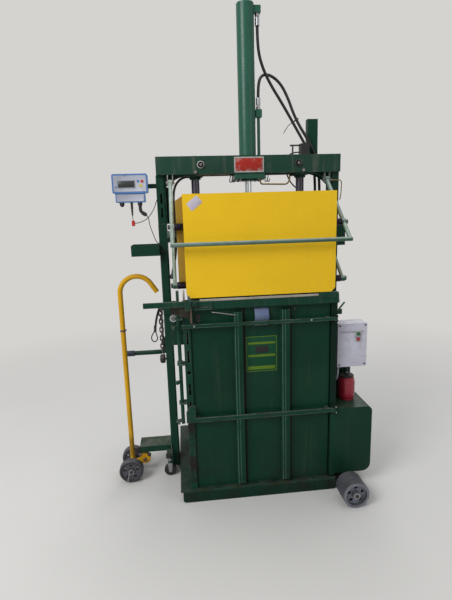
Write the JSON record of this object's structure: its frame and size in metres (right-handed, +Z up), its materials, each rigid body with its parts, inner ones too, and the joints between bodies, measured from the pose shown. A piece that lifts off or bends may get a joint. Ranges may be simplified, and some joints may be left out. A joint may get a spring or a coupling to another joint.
{
  "type": "wool press",
  "caption": "Upright hydraulic wool press: square bale chamber with a hinged front door, swing-up loading door, cross-beam cylinder, power pack, control box, scale display and wheels.",
  "frame": {"origin": "on the floor under the middle of the pressing chamber, on the underside of the foot beam", "axes": "+X to the right seen from the doors, +Y to the back, +Z up along the ram"},
  "size_m": [1.5187, 1.188, 2.782],
  "materials": {
    "green_paint": "gloss enamel, scuffed and dusty",
    "worn_green": "worn enamel over dark steel",
    "yellow_paint": "gloss enamel, lightly scuffed",
    "bare_steel": "bare, dulled",
    "chromed": "polished",
    "hose_rubber": "satin",
    "grip_rubber": "satin",
    "black_rubber": "matt",
    "black_plastic": "matt",
    "zinc_yellow": "yellow zinc plating",
    "zinc_plate": "zinc plated",
    "blue_webbing": "woven",
    "red_paint": "gloss",
    "white_plastic": "fine texture",
    "green_plastic": "gloss",
    "red_plastic": "gloss",
    "grey_plastic": "corrugated",
    "blue_plastic": "satin",
    "grey_wheel": "worn"
  },
  "bodies": {
    "frame": {"base_plate": "green_paint", "sills": "green_paint", "foot_beam": "green_paint", "left_post": "green_paint", "right_post": "green_paint", "top_beam": "green_paint", "beam_bolts": "bare_steel", "cylinder_mount": "green_paint", "guide_bushes": "green_paint", "cylinder_barrel": "green_paint", "lower_port_pipe": "green_paint", "hose_fittings": "bare_steel", "hose_cap_side": "hose_rubber", "hose_rod_side": "hose_rubber", "hose_mast": "green_paint", "limit_switch": "black_plastic", "switch_cable": "hose_rubber", "bleed_pipe": "zinc_yellow", "chamber_side_walls": "green_paint", "chamber_rear_wall": "green_paint", "upper_side_walls": "green_paint", "upper_rear_wall": "green_paint", "left_column": "green_paint", "right_column": "green_paint", "front_rail": "green_paint", "webbing_loop": "blue_webbing", "arm_brackets": "green_paint", "oil_tank": "green_paint", "filter_canister": "red_paint", "motor": "green_paint", "control_box": "white_plastic", "control_lid": "white_plastic", "conduit": "grey_plastic", "wheel_axles": "green_paint", "platform": "green_paint", "tray": "green_paint", "scale_arm": "green_paint", "scale_head": "blue_plastic"},
    "ram": {"ram_rod": "chromed", "platen": "green_paint", "guide_rods": "green_paint"},
    "lower_door": {"lower_door": "green_paint", "door_straps": "worn_green"},
    "hoop": {"hoop": "green_paint"},
    "loading_door": {"loading_door": "yellow_paint"},
    "lower_arm_left": {"lower_arm_left": "green_paint"},
    "lower_arm_right": {"lower_arm_right": "green_paint"},
    "latch_shaft": {"latch_shaft": "worn_green"},
    "release_lever": {"release_lever": "worn_green", "lever_grip": "grip_rubber"},
    "clamp_bar": {"clamp_bar": "green_paint"},
    "jack_handle": {"jack_handle": "yellow_paint"},
    "jack_wheel_front": {"jack_wheel_front": "grey_wheel"},
    "jack_wheel_rear": {"jack_wheel_rear": "grey_wheel"},
    "right_wheel_front": {"right_wheel_front": "grey_wheel"},
    "right_wheel_rear": {"right_wheel_rear": "grey_wheel"},
    "caster_fork": {"caster_fork": "zinc_plate"},
    "caster_wheel": {"caster_wheel": "black_rubber"},
    "start_button": {"start_button": "green_plastic"},
    "stop_button": {"stop_button": "red_plastic"}
  },
  "joints": [
    {"name": "ram_slide", "type": "slide", "parent": "frame", "child": "ram", "axis": [0, 0, 1], "range_m": [0, 0.7]},
    {"name": "lower_door_hinge", "type": "hinge", "parent": "frame", "child": "lower_door", "pos_m": [0.409, -0.407, 0.6], "axis": [0, 0, 1], "range_deg": [0, 95]},
    {"name": "hoop_pivot", "type": "hinge", "parent": "frame", "child": "hoop", "pos_m": [0, -0.07, 1.822], "axis": [1, 0, 0], "range_deg": [-75, 0]},
    {"name": "loading_door_pivot", "type": "hinge", "parent": "hoop", "child": "loading_door", "pos_m": [0, -0.35, 1.578], "axis": [1, 0, 0], "range_deg": [0, 75]},
    {"name": "lower_arm_left_pivot", "type": "hinge", "parent": "frame", "child": "lower_arm_left", "pos_m": [-0.462, -0.07, 1.514], "axis": [1, 0, 0], "range_deg": [-75, 0]},
    {"name": "lower_arm_right_pivot", "type": "hinge", "parent": "frame", "child": "lower_arm_right", "pos_m": [0.462, -0.07, 1.514], "axis": [1, 0, 0], "range_deg": [-75, 0]},
    {"name": "latch_turn", "type": "hinge", "parent": "frame", "child": "latch_shaft", "pos_m": [-0.455, -0.388, 0.8], "axis": [0, 0, 1], "range_deg": [0, 64]},
    {"name": "release_lever_pivot", "type": "hinge", "parent": "frame", "child": "release_lever", "pos_m": [-0.48, -0.055, 1.09], "axis": [0, 1, 0], "range_deg": [0, 18]},
    {"name": "clamp_bar_pivot", "type": "hinge", "parent": "frame", "child": "clamp_bar", "pos_m": [-0.366, -0.415, 1.18], "axis": [0, 1, 0], "range_deg": [0, 50]},
    {"name": "jack_handle_pivot", "type": "hinge", "parent": "frame", "child": "jack_handle", "pos_m": [-0.716, -0.042, 0.097], "axis": [0, 1, 0], "range_deg": [-40, 0]},
    {"name": "jack_wheel_front_spin", "type": "hinge", "parent": "jack_handle", "child": "jack_wheel_front", "pos_m": [-0.797, -0.135, 0.074], "axis": [0, 1, 0], "continuous": true},
    {"name": "jack_wheel_rear_spin", "type": "hinge", "parent": "jack_handle", "child": "jack_wheel_rear", "pos_m": [-0.797, 0.027, 0.074], "axis": [0, 1, 0], "continuous": true},
    {"name": "right_wheel_front_spin", "type": "hinge", "parent": "frame", "child": "right_wheel_front", "pos_m": [0.485, -0.523, 0.0753], "axis": [0, 1, 0], "continuous": true},
    {"name": "right_wheel_rear_spin", "type": "hinge", "parent": "frame", "child": "right_wheel_rear", "pos_m": [0.485, 0.523, 0.0753], "axis": [0, 1, 0], "continuous": true},
    {"name": "caster_swivel", "type": "hinge", "parent": "frame", "child": "caster_fork", "pos_m": [-0.556, -0.099, 0.09], "axis": [0, 0, 1], "continuous": true},
    {"name": "caster_wheel_spin", "type": "hinge", "parent": "caster_fork", "child": "caster_wheel", "pos_m": [-0.556, -0.099, 0.038], "axis": [0, 1, 0], "continuous": true},
    {"name": "start_press", "type": "slide", "parent": "frame", "child": "start_button", "axis": [0, 1, 0], "range_m": [0, 0.004], "stiffness_N_per_m": 500},
    {"name": "stop_press", "type": "slide", "parent": "frame", "child": "stop_button", "axis": [0, 1, 0], "range_m": [0, 0.004], "stiffness_N_per_m": 500}
  ],
  "couplings": [
    {"joint": "loading_door_pivot", "follows": "hoop_pivot", "ratio": -1},
    {"joint": "lower_arm_left_pivot", "follows": "hoop_pivot", "ratio": 1},
    {"joint": "lower_arm_right_pivot", "follows": "hoop_pivot", "ratio": 1},
    {"joint": "release_lever_pivot", "follows": "latch_turn", "ratio": 0.257}
  ]
}
